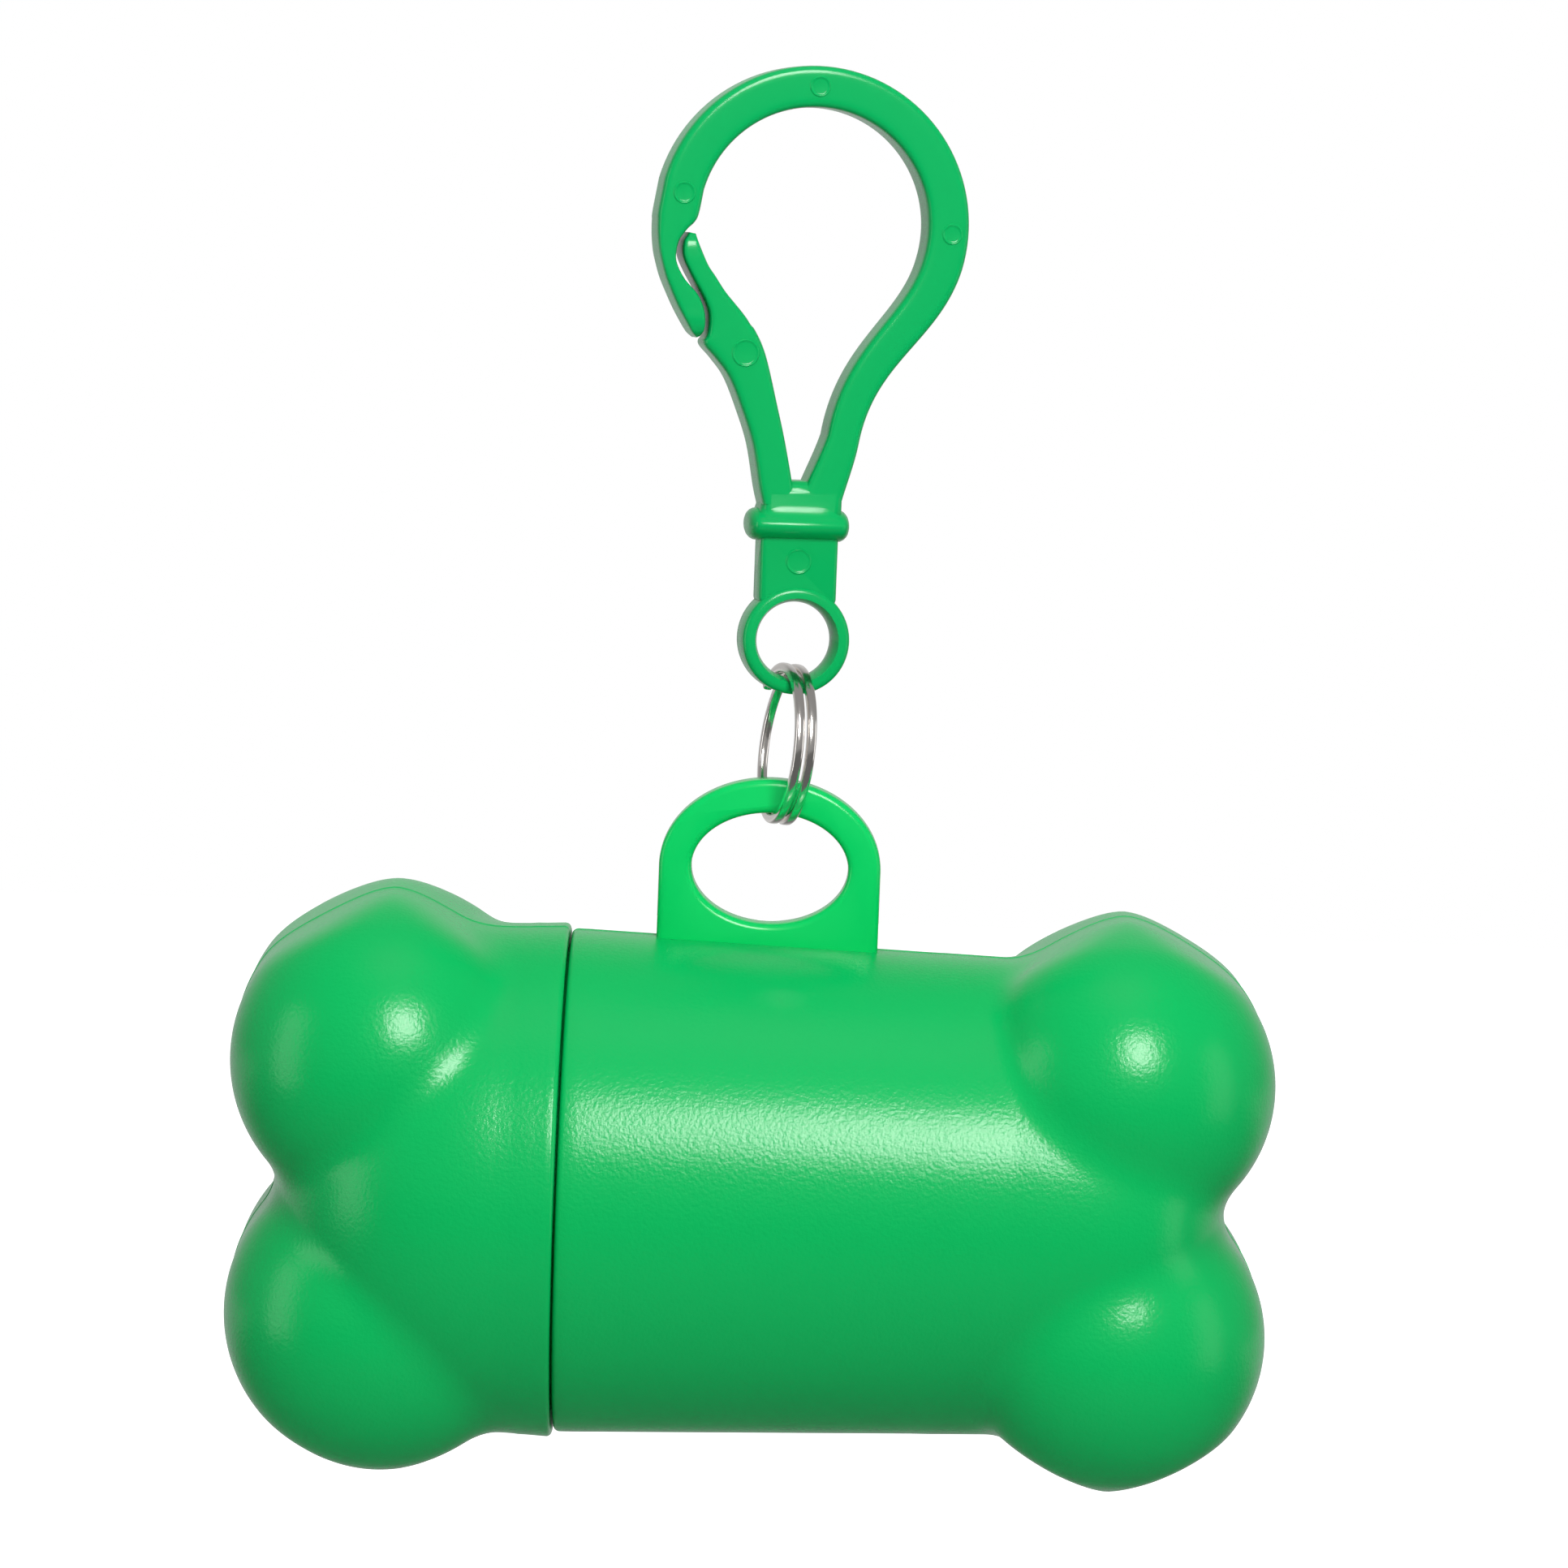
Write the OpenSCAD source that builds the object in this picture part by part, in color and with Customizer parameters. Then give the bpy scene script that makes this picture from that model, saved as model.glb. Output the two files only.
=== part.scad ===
// Bone-shaped pocket dispenser for rolled pet waste bags, with a carabiner clip.
// Origin: middle of the clip's loop. +Z up, +X towards the closed end of the bone,
// the front is seen looking along +Y.

/* [Barrel] */
// Outer radius of the barrel at its open mouth
barrel_r = 20.2; // [19.5:0.1:21]
// Outer radius of the barrel where the closed end begins
barrel_end_r = 19.15; // [18.6:0.05:19.4]
// Distance from the middle of the clip's loop down to the barrel's axis
drop = 77.1; // [76.5:0.05:78]
// Wall of the barrel at the closed end
wall = 1.9; // [1.4:0.1:2.2]

/* [Bone ends] */
// Radius of the two lobes of the closed end
lobe_r = 12.05; // [11.4:0.05:12.8]
// Radius of the two lobes of the cap
cap_lobe_r = 12.5; // [12:0.1:13.2]
// How far the cap is turned on its neck
cap_turn = 4.8; // [0:0.2:12]

/* [Cap joint] */
// Outer radius of the neck that carries the cap
neck_r = 18.4; // [18.2:0.1:18.5]
// Length of the neck
neck_len = 7; // [5:0.5:8]
// Gap between the cap's rim and the barrel
seam = 0.16; // [0.1:0.02:0.3]

/* [Hang tab] */
// Half width of the tab
tab_half = 8.85; // [8.4:0.05:9.4]
// Thickness of the tab
tab_t = 3.5; // [3:0.1:4]
// Half width of the oval hole
hole_a = 6.26; // [5.8:0.02:6.6]
// Half height of the oval hole
hole_b = 4.44; // [4.2:0.02:4.6]

/* [Bag roll] */
// Outside diameter of the wound bags
roll_d = 31; // [26:0.5:31.5]
// Length of the wound bags
roll_len = 54; // [48:0.5:56]
// Bore of the cardboard tube
core_bore = 10.4; // [9:0.2:11]

/* [Split ring] */
// Inside diameter of the split ring
ring_id = 11.3; // [11.28:0.02:11.4]
// Thickness of the ring's wire
wire_t = 0.8; // [0.6:0.05:0.9]

/* [Clip] */
// Inside radius of the clip's loop
loop_r = 9.2; // [9:0.1:9.6]
// Width of the clip's band
band_w = 3.3; // [3:0.1:3.4]
// Thickness of the clip from front to back
clip_t = 4.6; // [4:0.1:5]
// How far the clip is turned on the ring
clip_yaw = 9.5; // [0:0.5:12]

/* [Hidden] */
$fn = 96;
green = [0.0, 0.72, 0.38];
bright = [0.0, 0.75, 0.36];
nickel = [0.7, 0.69, 0.67];
board = [0.66, 0.52, 0.36];
film = [0.12, 0.16, 0.15];

// Barrel and its closed end, from the barrel's middle
bone_x = -1.33;
mouth_x = -15.6;
barrel_start = 18;
dome_start = 20;
tip_x = 37.2;
bore_r = 17.2;
bore_end_r = barrel_end_r - wall;
lobe_x = 28.6;
lobe_z = 10.05;
lobe_half = 7;
crest_up = 5;
crest_less = 4.5;
ray_x = lobe_x - 3.6;
ray_back = barrel_start - 1.5;

// Cap
rim_x = -mouth_x + seam;
collar_r = 20.6;
collar_end_r = 20.46;
collar_end = 20.2;
cap_tip = 38.7;
cap_wall = 1.8;
cap_bore_r = neck_r + 0.3;
cap_bore_x = 23;
cap_lobe_x = 29.7;
cap_lobe_z = 10.3;
cap_lobe_half = 4.9;
cap_ray_x = cap_lobe_x - 2.7;
cap_ray_back = collar_end - 1.8;
bead_h = 0.18;
bead_w = 0.8;
bead_at = 1.2;

// Hang tab and bag slot
tab_top = 7.13;
tab_up = 25.75;
tab_root = 17;
tab_drop = drop - tab_up;
hole_edge = 0.9;
slot_len = 26;
slot_w = 9;

// Roll
roll_x = 1;
roll_gap = 0.6;
roll_short = 0.5;
core_wall = 1.2;
core_fit = 0.15;
roll_z = -drop + roll_d / 2 - min(bore_r, bore_end_r) + roll_gap;

// Split ring
ring_r = ring_id / 2;
wire_w = 0.75;
ring_pitch = 1;
ring_turns = 1.63;
ring_from = -47;
ring_yaw = 15;
ring_tilt = 5.7;
ring_x = -0.57;
ring_gap = 0.17;
ring_c = [ring_x, 0, -tab_drop + hole_b - ring_gap + ring_r];

// Clip
eye_x = -0.17;
eye_z = -33.05;
eye_r = 4.3;
eye_hole = 3.02;
eye_t = 4;
eye_crown = 6;
eye_edge = 0.3;
tongue_w = 6.2;
tongue_t = 3.6;
collar_x = -0.25;
collar_z = -23.9;
collar_h = 1.3;
collar_len = 8.06;
foot_z = -22.1;
foot_w = 6.6;
foot_h = 2.4;
web_x = 0.35;
web_top = -20.1;
web_w = 1.9;
pin_x = -2.25;
pin_z = -20.4;
pin_r = 1.3;
pin_gap = 0.18;
room_r = 2.2;
nose_w = 2;
gate_w = 2.6;
gate_mid_w = 2.2;
gate_tip_w = 1.15;
// Unit of the clip's curves, which are drawn for a loop of 9.2 mm inside radius
cu = loop_r / 9.2;

// Smooth union of two distances, blended over k
function smin(a, b, k) = min(a, b) - pow(max(k - abs(a - b), 0), 2) / k / 4;

// Distance to a lobe: a ball of radius r stretched by l to the front and to the back
function lobe(p, x, z, r, l) = norm([p[0] - x, max(abs(p[1]) - l, 0), abs(p[2]) - z]) - r;

// Distance to a round domed end that begins at x0, a long and r wide, fuller with a higher n
function dome(p, x0, a, r, n) =
    let (q = norm([p[1], p[2]]))
    p[0] < x0 ? q - r : (pow(pow((p[0] - x0) / a, n) + pow(q / r, n), 1 / n) - 1) * r;

// The closed end of the bone
function closed_end(p, r) =
    let (main = lobe(p, lobe_x, lobe_z, lobe_r, lobe_half))
    let (crest = lobe(p, lobe_x, lobe_z + crest_up, lobe_r - crest_less, lobe_half / 2))
    smin(smin(main, crest, 2), dome(p, dome_start, tip_x - dome_start, r, 3.2), 1.2);

// The cap's end of the bone, with its lobes along +X
function cap_end(p, r) =
    let (main = lobe(p, cap_lobe_x, cap_lobe_z, cap_lobe_r, cap_lobe_half))
    let (crest = lobe(p, cap_lobe_x, cap_lobe_z + crest_up, cap_lobe_r - crest_up, cap_lobe_half / 2))
    smin(smin(main, crest, 2), dome(p, collar_end, cap_tip - collar_end, r, 2.3), 1.2);

function shape(kind, p, r) = kind == 0 ? closed_end(p, r) : cap_end(p, r);

// Distance along the ray d from q at which the shape, set in by w, is left
function reach(kind, q, d, r, w, lo, hi, n) =
    let (mid = (lo + hi) / 2)
    n == 0 ? mid :
    shape(kind, q + mid * d, r) + w > 0 ? reach(kind, q, d, r, w, lo, mid, n - 1) :
    reach(kind, q, d, r, w, mid, hi, n - 1);

// A hollow or solid bone end, drawn as rays from the point x on the axis
module bone_end(kind, x, back, r, w, rings, sides) {
    q = [x, 0, 0];
    near = lobe_r / 3;
    far = 2.6 * lobe_r;
    last = 90 + atan((x - back) / (r - w));
    rows = [for (i = [1 : rings]) [for (j = [0 : sides - 1])
        let (a = last * i / rings)
        let (b = 360 * j / sides)
        let (d = [cos(a), sin(a) * cos(b), sin(a) * sin(b)])
        q + d * reach(kind, q, d, r, w, near, far, 18)]];
    tip = q + [reach(kind, q, [1, 0, 0], r, w, near, far, 18), 0, 0];
    tail = [back, 0, 0];
    points = concat([tip, tail], [for (row = rows) each row]);
    nose = [for (j = [0 : sides - 1]) [0, 2 + (j + 1) % sides, 2 + j]];
    skin = [for (i = [0 : rings - 2]) for (j = [0 : sides - 1])
        let (a = 2 + i * sides + j)
        let (b = 2 + i * sides + (j + 1) % sides)
        each [[a, b, b + sides], [a, b + sides, a + sides]]];
    base = 2 + (rings - 1) * sides;
    tailfan = [for (j = [0 : sides - 1]) [1, base + j, base + (j + 1) % sides]];
    polyhedron(points, concat(nose, skin, tailfan), convexity = 6);
}

// A band swept along a path in the XZ plane: rows of x, z, heading, width and thickness
module band(path) {
    n = len(path);
    m = 16;
    points = [for (s = path) for (j = [0 : m - 1])
        let (a = 360 * (j + 0.5) / m)
        let (u = sign(cos(a)) * pow(abs(cos(a)), 0.45) * s[3] / 2)
        let (v = sign(sin(a)) * pow(abs(sin(a)), 0.45) * s[4] / 2)
        [s[0] - sin(s[2]) * u, v, s[1] + cos(s[2]) * u]];
    skin = [for (i = [0 : n - 2]) for (j = [0 : m - 1])
        let (a = i * m + j)
        let (b = i * m + (j + 1) % m)
        each [[a, b, b + m], [a, b + m, a + m]]];
    head = [[for (j = [0 : m - 1]) m - 1 - j]];
    tail = [[for (j = [0 : m - 1]) (n - 1) * m + j]];
    polyhedron(points, concat(head, skin, tail), convexity = 6);
}

function bez(p, t) = pow(1 - t, 3) * p[0] + 3 * pow(1 - t, 2) * t * p[1]
    + 3 * (1 - t) * t * t * p[2] + pow(t, 3) * p[3];
function bez_way(p, t) = pow(1 - t, 2) * (p[1] - p[0]) + 2 * (1 - t) * t * (p[2] - p[1])
    + t * t * (p[3] - p[2]);

// Rows for band() along a cubic curve, with the width going from w0 to w1
function curve(p, w0, w1, t0, t1, n) = [for (i = [1 : n])
    let (t = i / n)
    let (c = bez(p, t))
    let (h = bez_way(p, t))
    [c[0], c[1], atan2(h[1], h[0]), w0 + (w1 - w0) * t, t0 + (t1 - t0) * t]];

module hook_loop() {
    mid = loop_r + band_w / 2;
    start = [mid * cos(165), mid * sin(165)];
    stop = [mid * cos(15), -mid * sin(15)];
    knee = cu * [-11.35, -4.1];
    ankle = cu * [3, -16.85];
    tip = [cu * [-8.7, -8.95], cu * [-8.9, -7.9], cu * [-10.3, -6.3], knee];
    nose = [knee, cu * [-11.94, -2.61], start - 2 * cu * [cos(75), sin(75)], start];
    arc = [for (a = [157.5 : -7.5 : -15]) [mid * cos(a), mid * sin(a), a - 90, band_w, clip_t]];
    leg = [stop, stop - 5.4 * cu * [sin(15), cos(15)], cu * [4.1, -9.9], ankle];
    foot = [ankle, cu * [2.68, -18.4], cu * [1.9, -20.2], [1.35 * cu, foot_z]];
    band(concat(
        [[tip[0][0], tip[0][1], 100, nose_w / 2, clip_t - 1]],
        curve(tip, 0.6 * nose_w, nose_w, clip_t - 1, clip_t, 8),
        curve(nose, nose_w, band_w, clip_t, clip_t, 6),
        arc,
        curve(leg, band_w, gate_w, clip_t, clip_t, 16),
        curve(foot, gate_w, band_w, clip_t, clip_t, 5)));
}

// A bar with round corners along Y, for the clip's solid foot and tongue
module slab(x, z, w, h, t, r) {
    translate([x, t / 2, z]) rotate([90, 0, 0]) linear_extrude(t) {
        square([w - 2 * r, h], center = true);
        square([w, h - 2 * r], center = true);
        for (i = [-1, 1], j = [-1, 1]) translate([i * (w / 2 - r), j * (h / 2 - r)]) circle(r);
    }
}

// A plain cylinder along Y
module rod(x, z, r, h) {
    translate([x, 0, z]) rotate([90, 0, 0]) cylinder(r = r, h = h, center = true);
}

module clip_hook() {
    tongue_top = collar_z;
    tongue_end = eye_z + eye_r - 1.4;
    color(bright) rotate([0, 0, clip_yaw]) difference() {
        union() {
            hook_loop();
            slab(0, foot_z, foot_w, foot_h, clip_t, 0.6);
            slab(web_x, (web_top + foot_z) / 2, web_w, web_top - foot_z, clip_t, 0.4);
            translate([collar_x, 0, collar_z]) rotate([0, 90, 0]) scale([1, 2.3, 1])
                cylinder(r = collar_h, h = collar_len, center = true);
            slab(eye_x, (tongue_top + tongue_end) / 2, tongue_w, tongue_top - tongue_end, tongue_t, 0.3);
            rod(eye_x, eye_z, eye_r, eye_t - 2 * eye_edge);
            rod(eye_x, eye_z, eye_r - eye_edge, eye_t);
        }
        translate([eye_x, 0, eye_z]) rotate([90, 0, 0]) rotate_extrude() eye_cut();
        rod(pin_x, pin_z, pin_r + pin_gap, 2 * clip_t);
        rod(pin_x - room_r - 1, pin_z, room_r, 2 * clip_t);
    }
}

// Half the profile of the clip's eye hole, narrowest half way through the eye
module eye_cut() {
    difference() {
        translate([0, -eye_t]) square([eye_hole + 0.7, 2 * eye_t]);
        translate([eye_hole + eye_crown, 0]) circle(eye_crown);
    }
}

module clip_gate() {
    elbow = cu * [-6.78, -7.11];
    arm = [[pin_x, pin_z], [pin_x, pin_z] + cu * [-1.38, 5.3], cu * [-4.2, -10.17], elbow];
    end = [elbow, cu * [-8.25, -5.55], cu * [-9.15, -3], cu * [-9.45, -1.25]];
    heel = [[-4.4, -16.2], [-5.3, -14.6], [-5.8, -13.45], [-6.85, -11.75], [-8.25, -10.3], [-8.9, -9.65],
        [-8.1, -9.3], [-7.75, -8.9], [-7.5, -8], [-6.5, -8.2], [-4.6, -11.5], [-3.9, -14]];
    color(bright) rotate([0, 0, clip_yaw]) {
        band(concat(
            [[pin_x, pin_z, 104.5, gate_w, clip_t]],
            curve(arm, gate_w, gate_mid_w, clip_t, clip_t, 14),
            curve(end, gate_mid_w, gate_tip_w, clip_t, clip_t - 0.6, 8)));
        rotate([90, 0, 0]) linear_extrude(clip_t - 0.3, center = true) polygon(cu * heel);
        rod(pin_x, pin_z, pin_r, clip_t);
    }
}

module split_ring() {
    steps = 84;
    m = 8;
    mid = ring_r + wire_t / 2;
    full = 360 * ring_turns;
    flat = cos(180 / m);
    points = [for (i = [0 : steps]) for (j = [0 : m - 1])
        let (a = ring_from + full * i / steps)
        let (b = 360 * (j + 0.5) / m)
        let (r = mid + wire_t / 2 * cos(b) / flat)
        let (s = (i / steps - 0.5) * ring_turns * ring_pitch + wire_w / 2 * sin(b) / flat)
        [s, -r * sin(a), r * cos(a)]];
    skin = [for (i = [0 : steps - 1]) for (j = [0 : m - 1])
        let (a = i * m + j)
        let (b = i * m + (j + 1) % m)
        each [[a, b, b + m], [a, b + m, a + m]]];
    head = [[for (j = [0 : m - 1]) m - 1 - j]];
    tail = [[for (j = [0 : m - 1]) steps * m + j]];
    color(nickel) translate(ring_c) rotate([0, ring_tilt, 0]) rotate([0, 0, ring_yaw])
        polyhedron(points, concat(head, skin, tail), convexity = 6);
}

module hang_tab() {
    difference() {
        union() {
            translate([0, tab_t / 2, 0]) rotate([90, 0, 0]) linear_extrude(tab_t) intersection() {
                scale([1, tab_top / tab_half]) circle(tab_half);
                translate([-tab_half, 0]) square([2 * tab_half, tab_top + 1]);
            }
            translate([-tab_half, -tab_t / 2, tab_root - tab_up]) cube([2 * tab_half, tab_t, tab_up - tab_root]);
        }
        scale([1, 1, hole_b / hole_a]) rotate([90, 0, 0]) {
            cylinder(r = hole_a, h = tab_t + 2, center = true);
            for (i = [0, 1]) mirror([0, 0, i]) translate([0, 0, tab_t / 2 - hole_edge + 0.1])
                cylinder(r1 = hole_a, r2 = hole_a + hole_edge, h = hole_edge);
        }
    }
}

module barrel_shell() {
    color(green) translate([bone_x, 0, -drop]) difference() {
        union() {
            translate([mouth_x, 0, 0]) rotate([0, 90, 0])
                cylinder(r1 = barrel_r, r2 = barrel_end_r, h = barrel_start - mouth_x);
            bone_end(0, ray_x, ray_back, barrel_end_r - 0.04, 0, 28, 64);
            translate([mouth_x - neck_len, 0, 0]) rotate([0, 90, 0]) cylinder(r = neck_r, h = neck_len + 1);
            translate([mouth_x - neck_len + bead_at, 0, 0]) rotate([0, 90, 0])
                cylinder(r = neck_r + bead_h, h = bead_w);
            translate([0, 0, tab_up]) hang_tab();
        }
        translate([mouth_x - neck_len - 1, 0, 0]) rotate([0, 90, 0])
            cylinder(r1 = bore_r, r2 = bore_end_r, h = barrel_start - mouth_x + neck_len + 1);
        bone_end(0, ray_x, ray_back, barrel_end_r - 0.04, wall + 0.02, 18, 40);
        translate([0, barrel_r + 1, 0]) rotate([90, 0, 0]) linear_extrude(barrel_r / 2) {
            square([slot_len - slot_w, slot_w], center = true);
            for (i = [-1, 1]) translate([i * (slot_len - slot_w) / 2, 0]) circle(slot_w / 2);
        }
    }
}

module cap_shell() {
    color(green) translate([bone_x, 0, -drop]) rotate([cap_turn, 0, 0]) difference() {
        union() {
            translate([-collar_end, 0, 0]) rotate([0, 90, 0])
                cylinder(r1 = collar_end_r, r2 = collar_r, h = collar_end - rim_x);
            mirror([1, 0, 0]) bone_end(1, cap_ray_x, cap_ray_back, collar_end_r - 0.04, 0, 28, 64);
        }
        translate([-cap_bore_x, 0, 0]) rotate([0, 90, 0]) cylinder(r = cap_bore_r, h = cap_bore_x);
        mirror([1, 0, 0]) bone_end(1, cap_ray_x, cap_ray_back, collar_end_r - 0.04, cap_wall, 18, 40);
    }
}

module roll_core() {
    r = core_bore / 2;
    color(board) translate([bone_x + roll_x - roll_len / 2, 0, roll_z]) rotate([0, 90, 0]) difference() {
        cylinder(r = r + core_wall, h = roll_len);
        translate([0, 0, -1]) cylinder(r = r, h = roll_len + 2);
    }
}

module bag_roll() {
    r = core_bore / 2 + core_wall + core_fit;
    color(film) translate([bone_x + roll_x - roll_len / 2 + roll_short, 0, roll_z]) rotate([0, 90, 0]) difference() {
        cylinder(r = roll_d / 2, h = roll_len - 2 * roll_short);
        translate([0, 0, -1]) cylinder(r = r, h = roll_len + 2);
    }
}

clip_hook();
clip_gate();
split_ring();
barrel_shell();
cap_shell();
roll_core();
bag_roll();
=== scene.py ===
import math
import bmesh
import bpy
import numpy as np
from mathutils import Matrix, Quaternion, Vector


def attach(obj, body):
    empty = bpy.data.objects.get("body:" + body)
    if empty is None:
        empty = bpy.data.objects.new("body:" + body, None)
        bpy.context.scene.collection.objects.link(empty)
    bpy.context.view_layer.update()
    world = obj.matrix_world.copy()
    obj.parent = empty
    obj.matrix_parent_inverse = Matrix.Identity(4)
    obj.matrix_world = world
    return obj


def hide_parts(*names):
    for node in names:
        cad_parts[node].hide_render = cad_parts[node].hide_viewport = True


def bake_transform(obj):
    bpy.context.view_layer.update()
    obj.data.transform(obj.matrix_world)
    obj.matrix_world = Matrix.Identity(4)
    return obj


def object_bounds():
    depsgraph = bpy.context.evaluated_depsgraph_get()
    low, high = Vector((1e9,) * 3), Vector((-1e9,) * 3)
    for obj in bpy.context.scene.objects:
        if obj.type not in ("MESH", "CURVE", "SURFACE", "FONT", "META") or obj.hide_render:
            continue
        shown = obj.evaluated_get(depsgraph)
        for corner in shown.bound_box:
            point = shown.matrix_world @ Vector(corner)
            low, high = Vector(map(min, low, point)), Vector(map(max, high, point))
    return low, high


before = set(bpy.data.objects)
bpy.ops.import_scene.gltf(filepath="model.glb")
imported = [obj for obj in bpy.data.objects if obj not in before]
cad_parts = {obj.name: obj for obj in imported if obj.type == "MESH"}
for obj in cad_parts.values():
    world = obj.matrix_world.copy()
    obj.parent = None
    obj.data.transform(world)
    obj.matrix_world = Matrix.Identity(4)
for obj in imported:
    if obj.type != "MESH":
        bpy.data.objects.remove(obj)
cad_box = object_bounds()

MM = 0.001

# The sizes below repeat the part's own, in millimetres.
BONE = np.array([-1.33, 0.0, -77.1])
BARREL_R, BARREL_END_R = 20.2, 19.15
MOUTH_X, BARREL_START, DOME_START, TIP_X = -15.6, 18.0, 20.0, 37.2
BORE_R, WALL = 17.2, 1.9
LOBE_X, LOBE_Z, LOBE_R, LOBE_HALF = 28.6, 10.05, 12.05, 7.0
NECK_R, NECK_LEN, SEAM = 18.4, 7.0, 0.16
COLLAR_R, COLLAR_END_R, COLLAR_END, CAP_TIP, CAP_WALL = 20.6, 20.46, 20.2, 38.7, 1.8
CAP_LOBE_X, CAP_LOBE_Z, CAP_LOBE_R, CAP_LOBE_HALF = 29.7, 10.3, 12.5, 4.9
CREST_UP, CREST_LESS = 5.0, 4.5
CAP_TURN, CAP_GAP = math.radians(4.8), 0.3
TAB_HALF, TAB_TOP, TAB_T, HOLE_A, HOLE_B = 8.85, 7.13, 3.5, 6.26, 4.44
TAB_Z = BONE[2] + 25.75
SLOT_LEN, SLOT_W = 26.0, 9.0
ROLL_D, ROLL_LEN, ROLL_X, CORE_R, CORE_WALL, CORE_FIT = 31.0, 54.0, 1.0, 5.2, 1.2, 0.15
ROLL_Z = BONE[2] + ROLL_D / 2 - BORE_R + 0.6
RING_R, WIRE_T, WIRE_W, RING_PITCH, RING_TURNS = 5.65, 0.8, 0.75, 1.0, 1.63
RING_C = Vector((-0.57, 0, TAB_Z + HOLE_B - 0.17 + RING_R))
RING_YAW, RING_TILT, RING_START = math.radians(15), math.radians(5.7), math.radians(-47)
LOOP_R, BAND_W, CLIP_T, CLIP_YAW = 9.2, 3.3, 4.6, math.radians(9.5)
EYE = Vector((-0.17, 0, -33.05))
EYE_R, EYE_HOLE, EYE_T, EYE_CROWN = 4.3, 3.02, 4.0, 6.0
TONGUE_W, TONGUE_T, COLLAR_X, COLLAR_Z = 6.2, 3.6, -0.25, -23.9

# Where the rays of each bone end start from and stop, along the bone
RAY_X, RAY_BACK = LOBE_X - 3.6, 14.5
CAP_RAY_X, CAP_RAY_BACK = 27.0, 19.0
# The bone's sides narrow by this much for each millimetre away from the seam
BARREL_DRAFT = (BARREL_R - BARREL_END_R) / (BARREL_START - MOUTH_X)
COLLAR_DRAFT = (COLLAR_R - COLLAR_END_R) / (COLLAR_END + MOUTH_X)


# ---------------------------------------------------------------- meshes

def make(name, verts, faces, smooth=True):
    """A mesh object from points in millimetres."""
    mesh = bpy.data.meshes.new(name)
    mesh.from_pydata([tuple(float(c) * MM for c in v) for v in verts], [], faces)
    mesh.validate()
    bm = bmesh.new()
    bm.from_mesh(mesh)
    bmesh.ops.recalc_face_normals(bm, faces=bm.faces)
    bm.to_mesh(mesh)
    bm.free()
    obj = bpy.data.objects.new(name, mesh)
    bpy.context.scene.collection.objects.link(obj)
    for face in mesh.polygons:
        face.use_smooth = smooth
    return obj


def turns(count, shift=0.0):
    """Evenly spaced angles round a full turn."""
    return [2 * math.pi * (k + shift) / count for k in range(count)]


def swell(value, power):
    """A power that keeps the sign, for sections between a round and a square."""
    return math.copysign(abs(value) ** power, value)


def skin(rings, first=None, last=None):
    """Points and faces of closed rings joined in a row, with an optional tip at each end."""
    count = len(rings[0])
    verts = [p for ring in rings for p in ring]
    faces = []
    for i in range(len(rings) - 1):
        for j in range(count):
            a, b = i * count + j, i * count + (j + 1) % count
            faces.append((a, b, b + count, a + count))
    if first is not None:
        verts.append(first)
        faces += [(len(verts) - 1, (j + 1) % count, j) for j in range(count)]
    if last is not None:
        verts.append(last)
        base = (len(rings) - 1) * count
        faces += [(len(verts) - 1, base + j, base + (j + 1) % count) for j in range(count)]
    return verts, faces


def apply_modifiers(obj):
    graph = bpy.context.evaluated_depsgraph_get()
    mesh = bpy.data.meshes.new_from_object(obj.evaluated_get(graph))
    obj.modifiers.clear()
    obj.data = mesh
    return obj


def combine(obj, other, operation):
    """Adds other to obj or cuts it away, and deletes other."""
    mod = obj.modifiers.new("combine", "BOOLEAN")
    mod.operation = operation
    mod.solver = "EXACT"
    mod.object = other
    apply_modifiers(obj)
    bpy.data.objects.remove(other)
    return obj


def soften(obj, angle=35):
    """Smooth shading that keeps edges sharper than the angle."""
    for face in obj.data.polygons:
        face.use_smooth = True
    obj.data.set_sharp_from_angle(angle=math.radians(angle))
    return obj


def bevel(obj, width, segments=3, angle=40):
    mod = obj.modifiers.new("bevel", "BEVEL")
    mod.width = width * MM
    mod.segments = segments
    mod.limit_method = "ANGLE"
    mod.angle_limit = math.radians(angle)
    return apply_modifiers(obj)


def rod(name, radius, length, place, axis="Y", segments=96):
    """A plain cylinder centred on place, along an axis."""
    ends = [-length / 2, length / 2]
    rings = [[turn_to(axis, radius * math.cos(a), radius * math.sin(a), e) for a in turns(segments)]
             for e in ends]
    verts, faces = skin(rings, turn_to(axis, 0, 0, ends[0]), turn_to(axis, 0, 0, ends[1]))
    return make(name, [Vector(v) + Vector(place) for v in verts], faces)


def turn_to(axis, u, v, along):
    return {"X": (along, u, v), "Y": (v, along, u), "Z": (u, v, along)}[axis]


def lathe(name, profile, place, axis="X", segments=128):
    """A closed solid turned about an axis, from (along, radius) pairs that form a loop."""
    rings = [[turn_to(axis, r * math.cos(a), r * math.sin(a), x) for a in turns(segments)]
             for x, r in profile]
    rings.append(rings[0])
    verts, faces = skin(rings)
    obj = make(name, [Vector(v) + Vector(place) for v in verts], faces)
    bm = bmesh.new()
    bm.from_mesh(obj.data)
    bmesh.ops.remove_doubles(bm, verts=bm.verts, dist=1e-7)
    bmesh.ops.recalc_face_normals(bm, faces=bm.faces)
    bm.to_mesh(obj.data)
    bm.free()
    return obj


# ---------------------------------------------------------------- the bone

def smin(a, b, k):
    return np.minimum(a, b) - np.maximum(k - np.abs(a - b), 0) ** 2 / k / 4


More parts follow.
